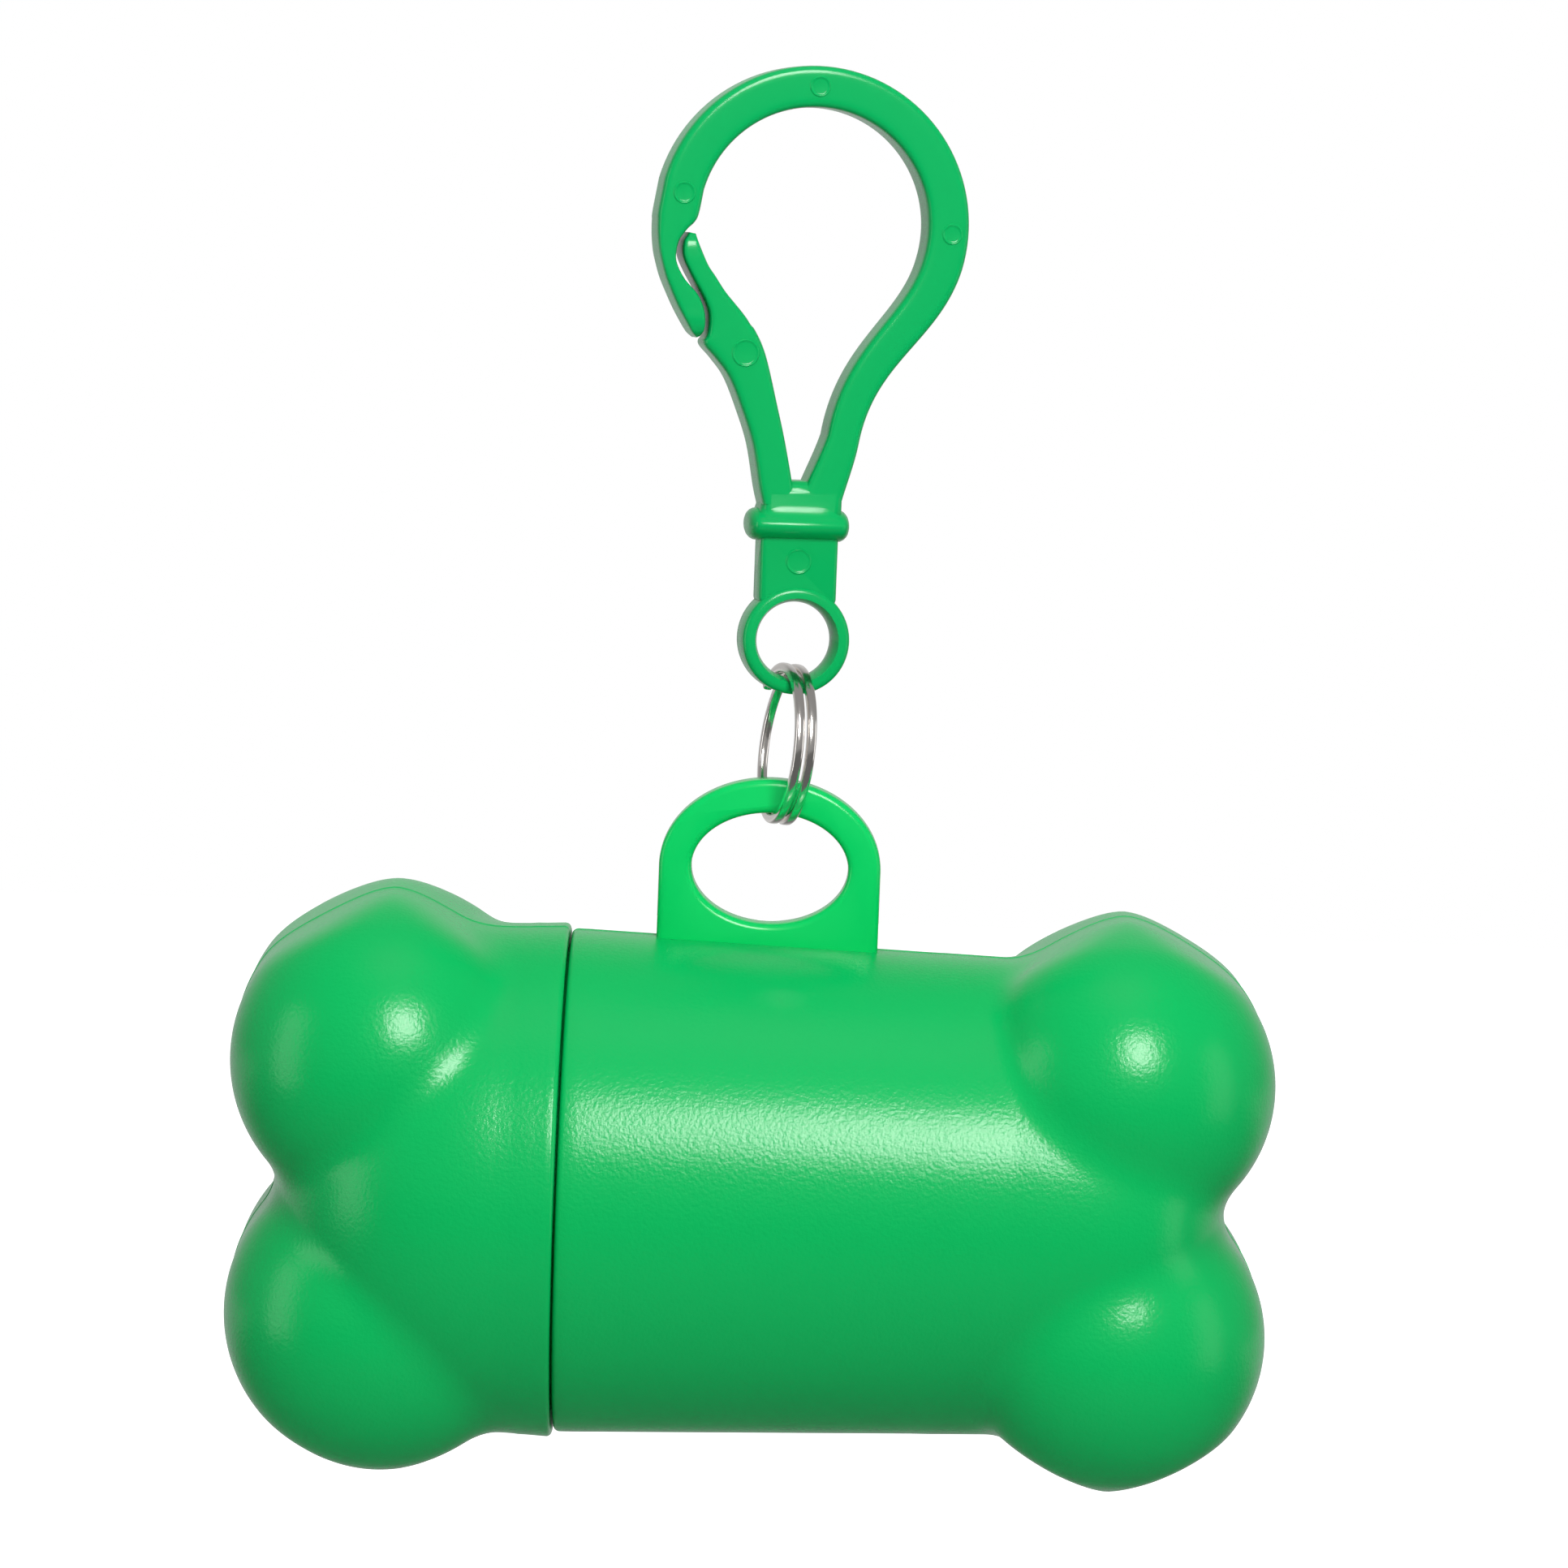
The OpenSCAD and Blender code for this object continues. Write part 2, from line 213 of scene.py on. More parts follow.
def lobe(p, x, z, r, half):
    y = np.maximum(np.abs(p[..., 1]) - half, 0)
    return np.sqrt((p[..., 0] - x) ** 2 + y ** 2 + (np.abs(p[..., 2]) - z) ** 2) - r


def dome(p, x0, length, r, n, draft):
    q = np.hypot(p[..., 1], p[..., 2])
    x = np.maximum(p[..., 0] - x0, 0)
    end = (((x / length) ** n + (q / r) ** n) ** (1 / n) - 1) * r
    return np.where(p[..., 0] < x0, q - r - draft * (x0 - p[..., 0]), end)


def flatten(shape, p, x, z, above, below):
    """Flattens the outer slopes of the lobes, so that each pair meets in a soft point."""
    reach = np.where(p[..., 2] > 0, above, below)
    slope = 0.485 * np.abs(p[..., 0] - x) + 0.875 * (np.abs(p[..., 2]) - z) - reach
    return -smin(-shape, -slope, 1.0)


def closed_end(p):
    main = lobe(p, LOBE_X, LOBE_Z, LOBE_R, LOBE_HALF)
    crest = lobe(p, LOBE_X, LOBE_Z + CREST_UP, LOBE_R - CREST_LESS, LOBE_HALF / 2)
    lobes = flatten(smin(main, crest, 2), p, LOBE_X, LOBE_Z, 12.0, 11.7)
    return smin(lobes, dome(p, DOME_START, TIP_X - DOME_START, BARREL_END_R - 0.04, 3.2, BARREL_DRAFT), 1.2)


def cap_end(p):
    main = lobe(p, CAP_LOBE_X, CAP_LOBE_Z, CAP_LOBE_R, CAP_LOBE_HALF)
    crest = lobe(p, CAP_LOBE_X, CAP_LOBE_Z + CREST_UP, CAP_LOBE_R - CREST_UP, CAP_LOBE_HALF / 2)
    lobes = flatten(smin(main, crest, 2), p, CAP_LOBE_X, CAP_LOBE_Z, 12.1, 12.5)
    return smin(lobes, dome(p, COLLAR_END, CAP_TIP - COLLAR_END, COLLAR_END_R - 0.04, 2.3, COLLAR_DRAFT), 1.2)


RIDGE_UP, RIDGE_HALF = 0.07, 0.35


def around():
    """Angles about the bone's axis, closer together where the moulding's parting line runs."""
    near = np.array([-1.2, -0.75, -0.42, -0.2, 0, 0.2, 0.42, 0.75, 1.2])
    marks = [a for a in np.arange(0, 360, 2.0) if abs(a % 180 - 90) > 1.5]
    marks += [c + n for c in (90, 270) for n in near]
    return np.radians(np.array(sorted(marks)))


def ridge(theta):
    """Height of the parting line's ridge at an angle about the axis."""
    off = np.minimum(np.abs(np.degrees(theta) - 90), np.abs(np.degrees(theta) - 270))
    return RIDGE_UP * np.exp(-(off / RIDGE_HALF) ** 2)


def bone_rows(shape, centre, back, radius, inset, rings, theta, line):
    """Rings of points on a bone end, from the tip back to the plane at back."""
    last = math.pi / 2 + math.atan((centre - back) / radius)
    rows = []
    for a in np.linspace(0, last, rings + 1)[1:]:
        along, out = math.cos(a), math.sin(a)
        d = np.stack([np.full_like(theta, along), out * np.cos(theta), out * np.sin(theta)], -1)
        lo, hi = np.full_like(theta, 4.0), np.full_like(theta, 32.0)
        for _ in range(26):
            mid = (lo + hi) / 2
            past = shape(np.array([centre, 0, 0]) + mid[:, None] * d) + inset > 0
            hi, lo = np.where(past, mid, hi), np.where(past, lo, mid)
        rows.append(np.array([centre, 0, 0]) + (lo + line)[:, None] * d)
    return rows


def round_rows(profile, theta, line):
    """Rings of points from (x, radius) pairs."""
    return [np.stack([np.full_like(theta, x), (r + line) * np.cos(theta), (r + line) * np.sin(theta)], -1)
            for x, r in profile]


def rim(x, r, size, steps=6):
    """(x, radius) pairs of a quarter round from the end face at x to the side at radius r."""
    quarter = [math.pi / 2 * k / steps for k in range(steps + 1)]
    return [(x + size * (1 - math.cos(t)), r - size * (1 - math.sin(t))) for t in quarter]


OUTER_RINGS, INNER_RINGS = 110, 36


def barrel_radius(x):
    return BARREL_END_R + BARREL_DRAFT * (BARREL_START - x)


def barrel_shell():
    theta = around()
    line = ridge(theta)
    none = line * 0
    outer = bone_rows(closed_end, RAY_X, RAY_BACK, barrel_radius(RAY_BACK), 0, OUTER_RINGS, theta, line)
    side = [(x, barrel_radius(x)) for x in np.linspace(13, MOUTH_X + 1.5, 14)]
    lip = rim(MOUTH_X, BARREL_R - 0.03, 0.45)[::-1]
    neck_end = MOUTH_X - NECK_LEN
    neck = [(MOUTH_X, NECK_R + 0.15), (MOUTH_X - 0.15, NECK_R), (neck_end + 2.2, NECK_R),
            (neck_end + 1.9, NECK_R + 0.18), (neck_end + 1.3, NECK_R + 0.18), (neck_end + 1.0, NECK_R),
            (neck_end + 0.3, NECK_R), (neck_end, NECK_R - 0.3), (neck_end, BORE_R + 0.35),
            (neck_end + 0.35, BORE_R)]
    bore = [(x, BORE_R) for x in np.linspace(-20, 10, 5)] + [(14, BARREL_END_R - WALL)]
    inner = bone_rows(closed_end, RAY_X, 16.5, BARREL_END_R - WALL, WALL + 0.02, INNER_RINGS, theta, none)
    inner = inner[::-1]
    rows = outer + round_rows(side, theta, line) + round_rows(lip, theta, line)
    rows += round_rows(neck + bore, theta, none) + inner
    verts, faces = skin(rows, [TIP_X, 0, 0], [TIP_X - WALL, 0, 0])
    obj = make("barrel_shell_skin", np.array(verts) + BONE, faces)
    combine(obj, slot_cutter(), "DIFFERENCE")
    return soften(obj, 50)


def slot_cutter():
    """The long hole with round ends through the back of the barrel."""
    half = (SLOT_LEN - SLOT_W) / 2
    ring = []
    for a in turns(64, 0.5):
        ring.append((math.copysign(half, math.cos(a)) + SLOT_W / 2 * math.cos(a), SLOT_W / 2 * math.sin(a)))
    sides = [(15, 0.0), (19.3, 0.0), (21, 0.55), (26, 0.6)]
    rows = []
    for y, grow in sides:
        rows.append([(x * (1 + grow / 13), y, z * (1 + grow / 4.5)) for x, z in ring])
    verts, faces = skin(rows, (0, 15, 0), (0, 26, 0))
    return make("slot_cutter", np.array(verts) + BONE, faces)


def cap_shell():
    theta = around()
    line = ridge(theta)
    none = line * 0
    outer = bone_rows(cap_end, CAP_RAY_X, CAP_RAY_BACK, COLLAR_END_R, 0, OUTER_RINGS, theta, line)
    mouth = -MOUTH_X + SEAM
    side = [(18.4, 20.51), (17.6, 20.53), (mouth + 0.9, COLLAR_R - 0.02)]
    lip = rim(mouth, COLLAR_R, 0.42)[::-1]
    bore_r = NECK_R + CAP_GAP
    inside = [(mouth, bore_r + 0.4), (mouth + 0.4, bore_r), (19, bore_r), (22.6, bore_r)]
    inner = bone_rows(cap_end, CAP_RAY_X, 22.9, COLLAR_END_R - CAP_WALL, CAP_WALL, INNER_RINGS, theta, none)
    inner = inner[::-1]
    rows = outer + round_rows(side, theta, line) + round_rows(lip, theta, line)
    rows += round_rows(inside, theta, none) + inner
    verts, faces = skin(rows, [CAP_TIP, 0, 0], [CAP_TIP - CAP_WALL, 0, 0])
    points = np.array(verts)
    points[:, 0] *= -1
    c, s = math.cos(CAP_TURN), math.sin(CAP_TURN)
    y, z = points[:, 1].copy(), points[:, 2].copy()
    points[:, 1], points[:, 2] = y * c - z * s, y * s + z * c
    return soften(make("cap_shell_skin", points + BONE, faces), 50)


def hang_tab():
    """The arched tab with its oval hole, standing on the barrel."""
    count = 72
    outline = [(TAB_HALF, -7.0)]
    outline += [(TAB_HALF * math.cos(math.pi * k / count), TAB_TOP * math.sin(math.pi * k / count))
                for k in range(count + 1)]
    outline.append((-TAB_HALF, -7.0))
    verts = [(x, y, z) for y in (-TAB_T / 2, TAB_T / 2) for x, z in outline]
    n = len(outline)
    faces = [tuple(range(n)), tuple(range(2 * n - 1, n - 1, -1))]
    faces += [(k, (k + 1) % n, n + (k + 1) % n, n + k) for k in range(n)]
    place = np.array([BONE[0], 0, TAB_Z])
    obj = make("hang_tab", np.array(verts) + place, faces)
    rows = [[(HOLE_A * math.cos(a), y, HOLE_B * math.sin(a)) for a in turns(96)]
            for y in (-TAB_T, -TAB_T / 2, TAB_T / 2, TAB_T)]
    v, f = skin(rows, (0, -TAB_T, 0), (0, TAB_T, 0))
    combine(obj, make("hole_cutter", np.array(v) + place, f), "DIFFERENCE")
    bevel(obj, 0.55, 4, 50)
    return soften(obj, 60)


# ---------------------------------------------------------------- the clip

def curve_rows(points, w0, w1, count):
    """Rows for band() along a curve with four control points, from one width to another."""
    p = [np.array(q, float) for q in points]
    rows = []
    for i in range(1, count + 1):
        t = i / count
        u = 1 - t
        x, z = u ** 3 * p[0] + 3 * u * u * t * p[1] + 3 * u * t * t * p[2] + t ** 3 * p[3]
        way = u * u * (p[1] - p[0]) + 2 * u * t * (p[2] - p[1]) + t * t * (p[3] - p[2])
        rows.append((x, z, math.atan2(way[1], way[0]), w0 + (w1 - w0) * t, CLIP_T))
    return rows


# How square the section of the clip's band is: 1 is round, 0 is square
CLIP_POWER = 0.28


def band(name, path, count=56):
    """A band swept in the XZ plane with a soft-cornered section."""
    rings = []
    for x, z, way, width, thick in path:
        ring = []
        for a in turns(count, 0.5):
            u = swell(math.cos(a), CLIP_POWER) * width / 2
            v = swell(math.sin(a), CLIP_POWER) * thick / 2
            ring.append((x - math.sin(way) * u, v, z + math.cos(way) * u))
        rings.append(ring)
    first = (path[0][0], 0, path[0][1])
    last = (path[-1][0], 0, path[-1][1])
    return make(name, *skin(rings, first, last))


def box_solid(name, x, z, w, h, t):
    verts = [(x + i * w / 2, j * t / 2, z + k * h / 2) for i in (-1, 1) for j in (-1, 1) for k in (-1, 1)]
    faces = [(0, 1, 3, 2), (4, 6, 7, 5), (0, 4, 5, 1), (2, 3, 7, 6), (0, 2, 6, 4), (1, 5, 7, 3)]
    return make(name, verts, faces, smooth=False)


def smooth(points, per):
    """Points on a smooth curve through the given ones."""
    p = [np.array(q, float) for q in points]
    p = [2 * p[0] - p[1]] + p + [2 * p[-1] - p[-2]]
    out = []
    for i in range(1, len(p) - 2):
        for k in range(per):
            t = k / per
            out.append(0.5 * (2 * p[i] + (p[i + 1] - p[i - 1]) * t
                              + (2 * p[i - 1] - 5 * p[i] + 4 * p[i + 1] - p[i + 2]) * t ** 2
                              + (3 * p[i] - p[i - 1] - 3 * p[i + 1] + p[i + 2]) * t ** 3))
    return out + [p[-2]]


def edge_rows(pairs, per=6):
    """Rows for band() between an inner and an outer edge."""
    rows = []
    for x0, z0, x1, z1, less in smooth(pairs, per):
        way = math.atan2(x0 - x1, z1 - z0)
        rows.append(((x0 + x1) / 2, (z0 + z1) / 2, way, math.hypot(x1 - x0, z1 - z0), CLIP_T - less))
    return rows


def on_circle(radius, degrees):
    """A point on a circle round the middle of the clip's loop."""
    a = math.radians(degrees)
    return radius * math.cos(a), radius * math.sin(a)


# Edges of the nose and the gate: inner x, z, outer x, z, and how much thinner than the clip it is there
NOSE_EDGES = [
    (-8.75, -9.15, -9.05, -9.28, 1.6), (-8.5, -8.7, -9.5, -8.85, 0.5), (-8.42, -7.89, -10.1, -7.9, 0),
    (-8.61, -6.82, -10.68, -6.9, 0), (-9.14, -5.81, -11.22, -5.8, 0), (-10.2, -4.67, -11.75, -4.6, 0),
    (-10.86, -3.47, -12.12, -3.4, 0), (-10.94, -2.59, -12.34, -2.5, 0), (-10.7, -1.6, -12.47, -1.5, 0),
    (-10.1, -0.75, -12.52, -0.7, 0), (-9.55, -0.2, -12.52, -0.1, 0), (-9.22, 0.5, -12.5, 0.6, 0)]
GATE_EDGES = [
    (-0.8, -21.9, -3.3, -22.3, 0), (-1.0, -20.4, -3.65, -20.9, 0), (-1.72, -17.05, -4.3, -17.6, 0),
    (-2.45, -14.2, -5.25, -14.9, 0), (-3.2, -11.33, -6.35, -12.4, 0), (-3.75, -9.72, -7.5, -10.9, 0),
    (-4.4, -8.5, -8.35, -10.0, 0), (-4.75, -8.1, -8.5, -9.55, 0), (-5.1, -7.6, -8.25, -9.1, 0),
    (-5.6, -7.0, -8.14, -8.25, 0), (-6.15, -6.4, -8.2, -7.3, 0), (-6.95, -5.49, -8.55, -6.35, 0),
    (-7.75, -4.35, -9.2, -5.2, 0), (-8.3, -3.6, -9.85, -4.1, 0), (-8.8, -2.6, -10.4, -2.9, 0),
    (-9.2, -1.7, -10.4, -1.8, 0.2), (-9.4, -1.1, -9.95, -1.0, 1.0)]
# The loop's round part runs from the end of the nose over the top to the leg, in degrees
ARC_START, ARC_END, ARC_STEP = 165, -15, 3
LEG_W = 2.65


def hook_path():
    """The clip from the tip of its nose, round the loop and down the leg into the foot."""
    mid = LOOP_R + BAND_W / 2
    joint = (*on_circle(LOOP_R, ARC_START), *on_circle(LOOP_R + BAND_W, ARC_START), 0)
    rows = edge_rows(NOSE_EDGES + [joint])
    for a in range(ARC_START - ARC_STEP, ARC_END - 1, -ARC_STEP):
        rows.append((*on_circle(mid, a), math.radians(a - 90), BAND_W, CLIP_T))
    x, z = on_circle(mid, ARC_END)
    knee = (3.0, -16.85)
    rows += curve_rows([(x, z), (x - 1.4, z - 5.22), (4.1, -9.9), knee], BAND_W, LEG_W, 36)
    rows += curve_rows([knee, (2.68, -18.4), (1.9, -20.2), (1.35, -22)], LEG_W, BAND_W, 10)
    return rows


def eye_hole():
    """The cutter for the clip's eye hole, narrowest half way through."""
    reach, steps = 2.6, 16
    rows = []
    for k in range(-steps, steps + 1):
        y = reach * k / steps
        r = EYE_HOLE + EYE_CROWN - math.sqrt(EYE_CROWN ** 2 - y * y)
        rows.append([turn_to("Y", r * math.cos(a), r * math.sin(a), y) for a in turns(96)])
    verts, faces = skin(rows, (0, -reach, 0), (0, reach, 0))
    return make("eye_cutter", np.array(verts) + np.array(EYE), faces)


def yaw(obj):
    obj.data.transform(Matrix.Rotation(CLIP_YAW, 4, "Z"))
    return obj


# Round ejector marks on the clip's front face: x, z, radius
PIN_MARKS = [(0.0, 10.85, 0.75), (-10.55, 2.1, 0.8), (11.05, -0.4, 0.75)]
TONGUE_MARK, GATE_MARK = (-0.25, -26.75, 0.95), (-5.2, -10.35, 1.02)


def join(obj, other):
    """Adds the faces of other, which is then deleted, to obj."""
    bm = bmesh.new()
    bm.from_mesh(obj.data)
    bm.from_mesh(other.data)
    bm.to_mesh(obj.data)
    bm.free()
    bpy.data.objects.remove(other)
    return obj


def add_mark(obj, x, z, r, face_y):
    """A flat round mark with a fine raised rim on a front face."""
    rows = []
    for wider, up in ((-0.2, 0.012), (-0.12, 0.02), (-0.05, 0.07), (0, 0.085), (0.06, 0.06), (0.12, -0.04)):
        q = r + wider
        rows.append([(x + q * math.cos(a), face_y - up, z + q * math.sin(a)) for a in turns(48)])
    return join(obj, make("mark", *skin(rows, first=(x, face_y - 0.012, z))))


def clip_hook():
    obj = band("clip_hook_skin", hook_path())
    parts = [
        bevel(box_solid("foot", -0.1, -22.1, 6.3, 2.4, CLIP_T), 0.55, 4),
        bevel(box_solid("web", -0.1, -21.6, 3.4, 2.5, CLIP_T - 0.1), 0.9, 5),
        shoulder(),
        bead(),
        bevel(box_solid("tongue", EYE.x, (COLLAR_Z + EYE.z + 2.9) / 2, TONGUE_W,
                        COLLAR_Z - EYE.z - 2.9, TONGUE_T), 0.4, 3),
        bevel(rod("eye", EYE_R, EYE_T, EYE), 0.5, 4),
    ]
    for part in parts:
        combine(obj, part, "UNION")
    combine(obj, eye_hole(), "DIFFERENCE")
    for mark in PIN_MARKS:
        add_mark(obj, *mark, -CLIP_T / 2)
    add_mark(obj, *TONGUE_MARK, -TONGUE_T / 2)
    return yaw(soften(obj, 38))


def shoulder():
    """The flare that leads from the foot into the collar: height, half width, half depth."""
    steps = [(-21.5, 3.0, 2.2), (-22.2, 3.08, 2.28), (-22.7, 3.22, 2.4),
             (-23.1, 3.45, 2.58), (-23.45, 3.75, 2.8), (-23.9, 3.95, 2.9)]
    power = 0.34
    rows = [[(COLLAR_X + swell(math.cos(a), power) * w, swell(math.sin(a), power) * d, z)
             for a in turns(64, 0.5)] for z, w, d in steps]
    return make("shoulder", *skin(rows, (COLLAR_X, 0, steps[0][0]), (COLLAR_X, 0, steps[-1][0])))


def bead():
    """The rounded collar across the clip, deeper than it is high."""
    half, r, edge, deeper = 4.03, 1.3, 0.8, 2.3
    end = [(-half, r - edge)] + [(-half + edge * (1 - math.cos(t)), r - edge + edge * math.sin(t))
                                 for t in np.linspace(0.3, math.pi / 2, 5)]
    steps = end + [(-x, q) for x, q in reversed(end)]
    rows = [[(x, deeper * q * math.cos(a), q * math.sin(a)) for a in turns(64)] for x, q in steps]
    verts, faces = skin(rows, (-half, 0, 0), (half, 0, 0))
    return make("bead", np.array(verts) + np.array([COLLAR_X, 0, COLLAR_Z]), faces)


def clip_gate():
    obj = band("clip_gate_skin", edge_rows(GATE_EDGES))
    add_mark(obj, *GATE_MARK, -CLIP_T / 2)
    return yaw(soften(obj, 38))


# ---------------------------------------------------------------- ring and roll

def split_ring():
    steps, power = 420, 0.6
    mid = RING_R + WIRE_T / 2
    rows = []
    for i in range(steps + 1):
        a = RING_START + 2 * math.pi * RING_TURNS * i / steps
        ring = []
        for b in turns(20, 0.5):
            u = swell(math.cos(b), power) * WIRE_T / 2
            v = swell(math.sin(b), power) * WIRE_W / 2
            along = (i / steps - 0.5) * RING_TURNS * RING_PITCH + v
            ring.append((along, -(mid + u) * math.sin(a), (mid + u) * math.cos(a)))
        rows.append(ring)
    first, last = np.mean(rows[0], axis=0), np.mean(rows[-1], axis=0)
    verts, faces = skin(rows, tuple(first), tuple(last))
    obj = make("split_ring_wire", verts, faces)
    turn = Matrix.Rotation(RING_TILT, 4, "Y") @ Matrix.Rotation(RING_YAW, 4, "Z")
    obj.data.transform(Matrix.Translation(RING_C * MM) @ turn)
    return soften(obj, 50)


def roll_core():
    x0 = BONE[0] + ROLL_X - ROLL_LEN / 2
    outer = CORE_R + CORE_WALL
    loop = [(x0, CORE_R), (x0, outer), (x0 + ROLL_LEN, outer), (x0 + ROLL_LEN, CORE_R)]
    return soften(lathe("roll_core_tube", loop, (0, 0, ROLL_Z)), 40)


def bag_roll():
    """The wound bags, with fine layers showing on their ends."""
    x0 = BONE[0] + ROLL_X - ROLL_LEN / 2 + 0.5
    x1 = x0 + ROLL_LEN - 1
    inner, outer = CORE_R + CORE_WALL + CORE_FIT, ROLL_D / 2
    radii = np.linspace(inner, outer - 0.2, 46)
    sink = [0.05 + 0.13 * (k % 2) + 0.05 * math.sin(k * 1.7) for k in range(46)]
    loop = [(x0 + s, r) for s, r in zip(sink, radii)]
    loop += [(x0 + 0.1, outer), (x0 + 3, outer - 0.05), (x1 - 3, outer - 0.05), (x1 - 0.1, outer)]
    loop += [(x1 - s, r) for s, r in reversed(list(zip(sink, radii)))]
    return soften(lathe("bag_roll_film", loop, (0, 0, ROLL_Z)), 40)


# ---------------------------------------------------------------- materials

def material(name, color, rough, metal=0.0, spec=0.5):
    """A plain material, with its nodes, its links and its shader."""
    mat = bpy.data.materials.new(name)
    mat.use_nodes = True
    shader = mat.node_tree.nodes["Principled BSDF"]
    shader.inputs["Base Color"].default_value = (*color, 1)
    shader.inputs["Roughness"].default_value = rough
    shader.inputs["Metallic"].default_value = metal
    shader.inputs["Specular IOR Level"].default_value = spec
    return mat, mat.node_tree.nodes, mat.node_tree.links, shader


def grain(nodes, links, shader, scale, strength, distance, detail=2.0):
    """A fine bumpy surface in object coordinates."""
    coords = nodes.new("ShaderNodeTexCoord")
    noise = nodes.new("ShaderNodeTexNoise")
    noise.inputs["Scale"].default_value = scale
    noise.inputs["Detail"].default_value = detail
    bump = nodes.new("ShaderNodeBump")
    bump.inputs["Strength"].default_value = strength
    bump.inputs["Distance"].default_value = distance
    links.new(coords.outputs["Object"], noise.inputs["Vector"])
    links.new(noise.outputs["Fac"], bump.inputs["Height"])
    links.new(bump.outputs["Normal"], shader.inputs["Normal"])


def satin_green():
    mat, nodes, links, shader = material("satin_green", (0.0, 0.38, 0.086), 0.24, spec=0.3)
    grain(nodes, links, shader, 3200, 0.55, 0.00005)
    return mat


def gloss_green(name, color):
    mat, nodes, links, shader = material(name, color, 0.20, spec=0.28)
    grain(nodes, links, shader, 500, 0.12, 0.00005)
    return mat


def nickel():
    mat, nodes, links, shader = material("nickel", (0.92, 0.88, 0.84), 0.15, metal=1.0)
    grain(nodes, links, shader, 900, 0.08, 0.00003)
    return mat


def board():
    mat, nodes, links, shader = material("board", (0.38, 0.25, 0.14), 0.85)
    grain(nodes, links, shader, 900, 0.5, 0.0001)
    return mat


def film():
    mat, nodes, links, shader = material("film", (0.02, 0.03, 0.028), 0.42)
    grain(nodes, links, shader, 260, 0.5, 0.0004)
    return mat


# ---------------------------------------------------------------- stage

def white_behind(nodes, links, vector, low, near, far):
    """A brightness that is low in front of the object and higher behind it, where the white backdrop is."""
    split = nodes.new("ShaderNodeSeparateXYZ")
    ramp = nodes.new("ShaderNodeMapRange")
    for key, value in (("From Min", near), ("From Max", far), ("To Min", low), ("To Max", 0.6)):
        ramp.inputs[key].default_value = value
    links.new(vector, split.inputs[0])
    links.new(split.outputs["Y"], ramp.inputs["Value"])
    return ramp.outputs["Result"]


def glow(nodes, links, strength):
    shader = nodes.new("ShaderNodeEmission")
    shader.inputs["Color"].default_value = (1, 1, 1, 1)
    links.new(strength, shader.inputs["Strength"])
    return shader.outputs[0]


def backdrop(name, corners):
    """A floor that the camera sees as white, with the object's shadow kept in its middle."""
    mesh = bpy.data.meshes.new(name)
    mesh.from_pydata(corners, [], [(0, 1, 2, 3)])
    obj = bpy.data.objects.new(name, mesh)
    bpy.context.scene.collection.objects.link(obj)
    mat, nodes, links, shader = material(name, (0.62, 0.62, 0.62), 0.9, spec=0.0)
    coords = nodes.new("ShaderNodeTexCoord")
    away = nodes.new("ShaderNodeVectorMath")
    away.operation = "LENGTH"
    fade = nodes.new("ShaderNodeMapRange")
    for key, value in (("From Min", 0.05), ("From Max", 0.30), ("To Min", 0.62), ("To Max", 1.0)):
        fade.inputs[key].default_value = value
    links.new(coords.outputs["Object"], away.inputs[0])
    links.new(away.outputs["Value"], fade.inputs["Value"])
    lit = nodes.new("ShaderNodeBsdfDiffuse")
    lit.inputs["Color"].default_value = (0.9, 0.9, 0.9, 1)
    seen = nodes.new("ShaderNodeAddShader")
    links.new(glow(nodes, links, fade.outputs["Result"]), seen.inputs[0])
    links.new(lit.outputs[0], seen.inputs[1])
    mirrored = glow(nodes, links, white_behind(nodes, links, coords.outputs["Object"], 0.12, 0.3, 0.9))
    path = nodes.new("ShaderNodeLightPath")
    shine = nodes.new("ShaderNodeMath")
    shine.operation = "MAXIMUM"
    reflected, viewed = nodes.new("ShaderNodeMixShader"), nodes.new("ShaderNodeMixShader")
    links.new(path.outputs["Is Glossy Ray"], shine.inputs[0])
    links.new(path.outputs["Is Transmission Ray"], shine.inputs[1])
    links.new(shine.outputs[0], reflected.inputs["Fac"])
    links.new(shader.outputs[0], reflected.inputs[1])
    links.new(mirrored, reflected.inputs[2])
    links.new(path.outputs["Is Camera Ray"], viewed.inputs["Fac"])
    links.new(reflected.outputs[0], viewed.inputs[1])
    links.new(seen.outputs[0], viewed.inputs[2])
    links.new(viewed.outputs[0], nodes["Material Output"].inputs["Surface"])
    mesh.materials.append(mat)
    return obj


def lamp(name, way, distance, size, power, tall=None):
    """A softbox that faces the middle of the object from the direction way."""
    data = bpy.data.lights.new(name, "AREA")
    data.energy = power
    data.shape = "RECTANGLE" if tall else "DISK"
    data.size = size
    if tall:
        data.size_y = tall
    obj = bpy.data.objects.new(name, data)
    way = Vector(way).normalized()
    obj.location = Vector((0, 0, -0.06)) + way * distance
    obj.rotation_mode = "QUATERNION"
    obj.rotation_quaternion = way.to_track_quat("Z", "Y")
    bpy.context.scene.collection.objects.link(obj)
    return obj


# The photograph: pixels across, pixels per millimetre at the object, and where its middle falls
PHOTO_PX = 1932
PX_PER_MM = 15.42
AIM = Vector((-0.000444, 0, -0.04465))
DISTANCE = 0.56
ELEVATION = math.radians(4.5)
ROLL = math.radians(2.15)


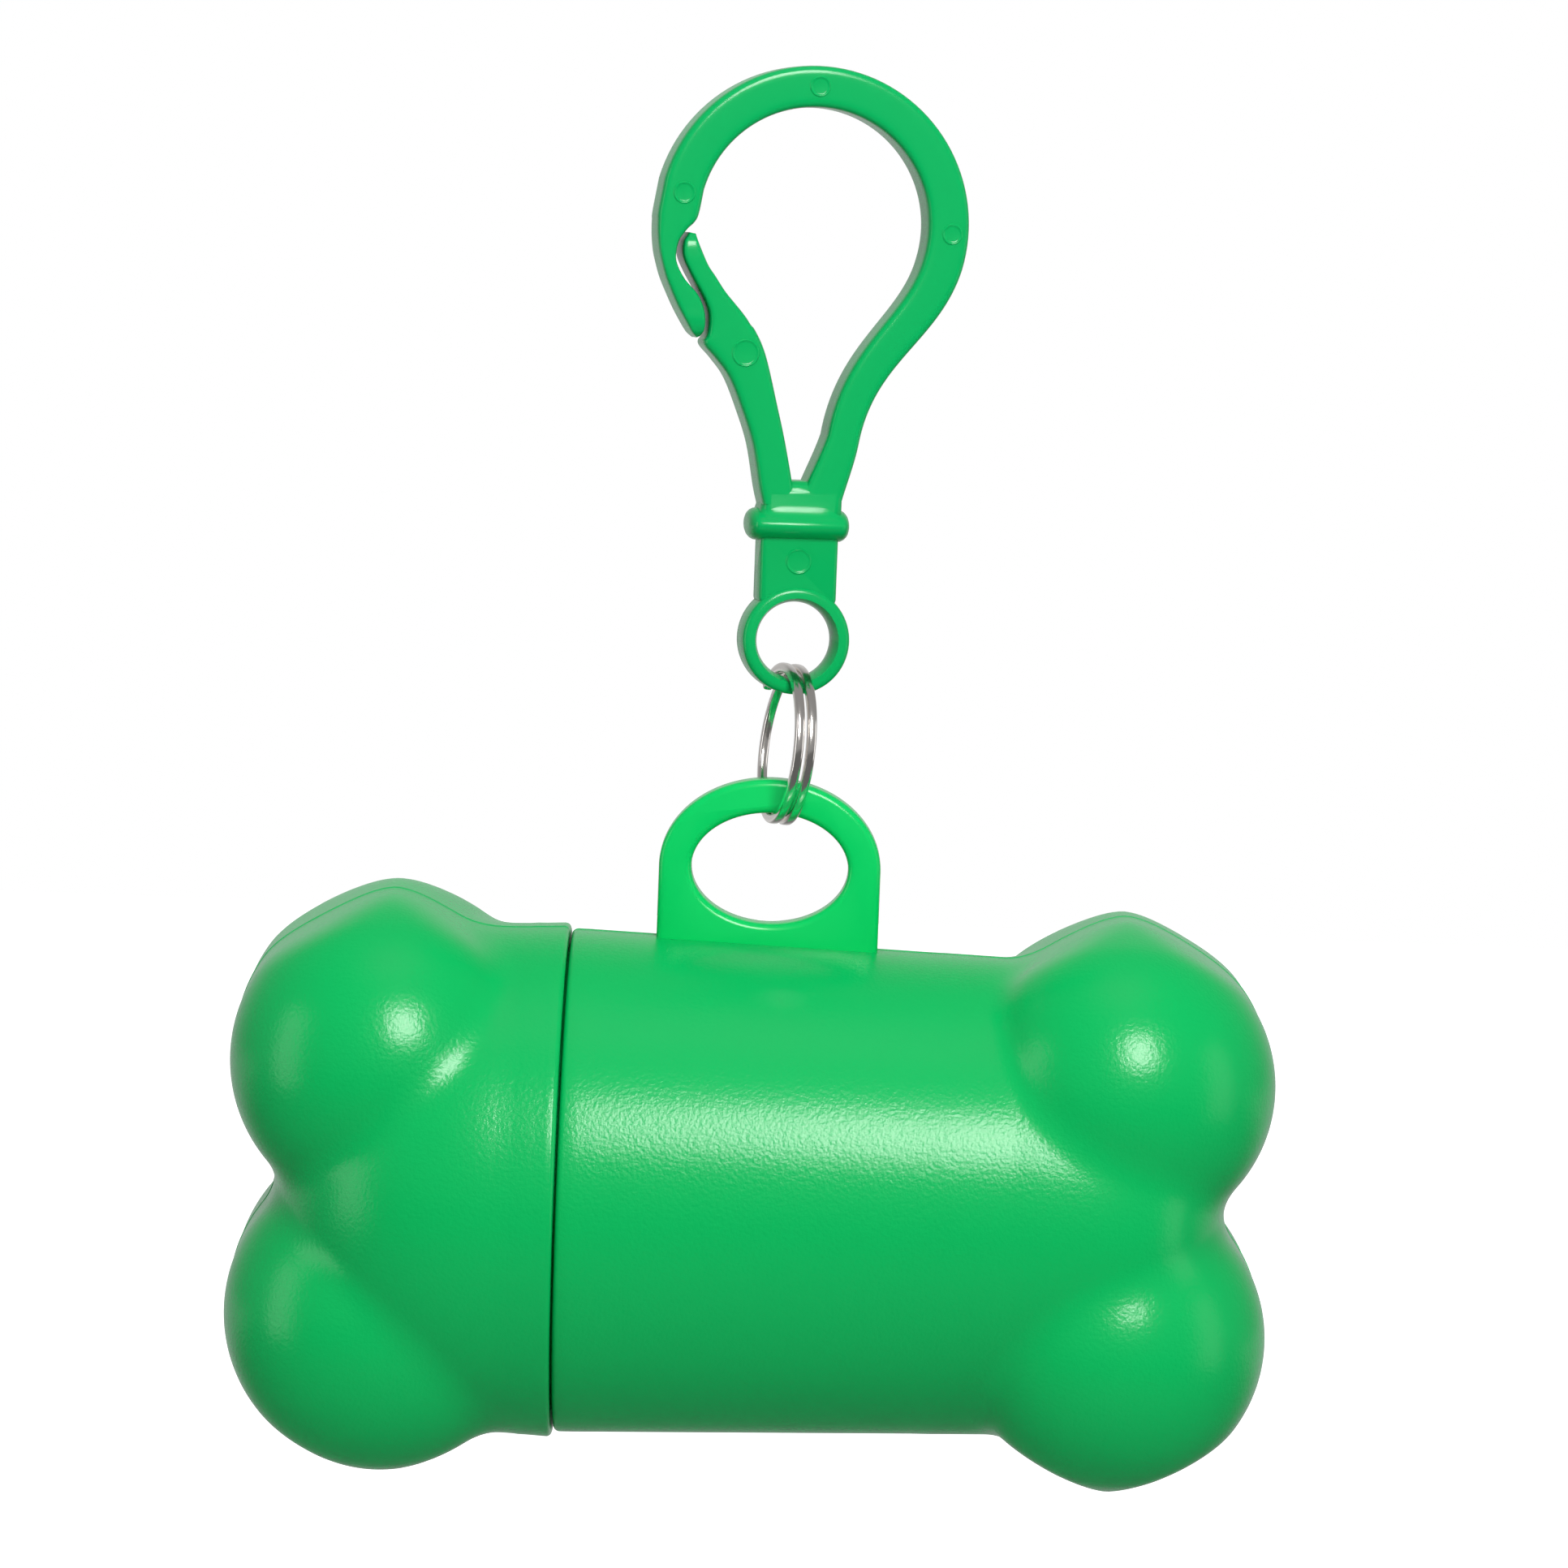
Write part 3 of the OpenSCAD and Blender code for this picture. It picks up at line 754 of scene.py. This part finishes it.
def camera():
    data = bpy.data.cameras.new("camera")
    data.sensor_width = 36
    data.lens = 36 * DISTANCE / (PHOTO_PX / PX_PER_MM * MM)
    data.clip_start, data.clip_end = 0.01, 20
    obj = bpy.data.objects.new("camera", data)
    back = Vector((0, -math.cos(ELEVATION), math.sin(ELEVATION)))
    obj.location = AIM + back * DISTANCE
    obj.rotation_mode = "QUATERNION"
    look = (-back).to_track_quat("-Z", "Y")
    obj.rotation_quaternion = look @ Quaternion((0, 0, 1), ROLL)
    bpy.context.scene.collection.objects.link(obj)
    bpy.context.scene.camera = obj


def studio():
    floor = backdrop("floor", [(-3, -3, 0), (3, -3, 0), (3, 3, 0), (-3, 3, 0)])
    floor.location.z = cad_box[0].z - 0.25
    world = bpy.data.worlds.new("world")
    bpy.context.scene.world = world
    world.use_nodes = True
    nodes, links = world.node_tree.nodes, world.node_tree.links
    plain = nodes["Background"]
    plain.inputs["Color"].default_value = (1, 1, 1, 1)
    coords = nodes.new("ShaderNodeTexCoord")
    fill = white_behind(nodes, links, coords.outputs["Generated"], 0.26, 0.6, 0.95)
    links.new(fill, plain.inputs["Strength"])
    white = nodes.new("ShaderNodeBackground")
    white.inputs["Color"].default_value = (1, 1, 1, 1)
    white.inputs["Strength"].default_value = 1.0
    path = nodes.new("ShaderNodeLightPath")
    mix = nodes.new("ShaderNodeMixShader")
    links.new(path.outputs["Is Camera Ray"], mix.inputs["Fac"])
    links.new(plain.outputs[0], mix.inputs[1])
    links.new(white.outputs[0], mix.inputs[2])
    links.new(mix.outputs[0], nodes["World Output"].inputs["Surface"])
    lamp("key", (0.19, -0.83, 0.52), 0.7, 0.24, 4.8, 0.27)
    for name, way, power in (("top", (0.0, -0.15, 1.0), 2.0), ("back", (-0.3, 1.0, 0.5), 2.2)):
        lamp(name, way, 0.8, 0.5, power).visible_glossy = False
    lamp("left", (-1.0, -0.25, 0.1), 0.8, 0.3, 1.0, 0.6)
    lamp("right", (1.0, -0.25, 0.1), 0.8, 0.3, 0.6, 0.6)
    bpy.context.scene.view_settings.view_transform = "Standard"


# ---------------------------------------------------------------- assembly

def dress(obj, mat, body=None, nodes=()):
    """Gives a piece its material, and says which body it rides on and which nodes it takes the place of."""
    obj.data.materials.clear()
    obj.data.materials.append(mat)
    if body:
        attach(obj, body)
    if nodes:
        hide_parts(*nodes)
    return obj


camera()
SATIN = satin_green()
# The second, lighter copy of the gloss green goes on the hang tab. It is painted light: the same plastic
# given a brighter colour where it looks lit.
GLOSS, PAINTED_LIGHT_TAB_GREEN = gloss_green("gloss_green", (0.0, 0.355, 0.088)), gloss_green("tab_green_painted_light", (0.0, 0.51, 0.105))
NICKEL, BOARD, FILM = nickel(), board(), film()

dress(barrel_shell(), SATIN, "barrel", ["barrel_shell"])
dress(hang_tab(), PAINTED_LIGHT_TAB_GREEN, "barrel")
dress(cap_shell(), SATIN, "cap", ["cap_shell"])
dress(clip_hook(), GLOSS, "clip", ["clip_hook"])
gate = dress(clip_gate(), GLOSS, None, ["clip_gate"])
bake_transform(gate)
dress(split_ring(), NICKEL, "ring", ["split_ring"])
dress(roll_core(), BOARD, "roll", ["roll_core"])
dress(bag_roll(), FILM, "roll", ["bag_roll"])
studio()
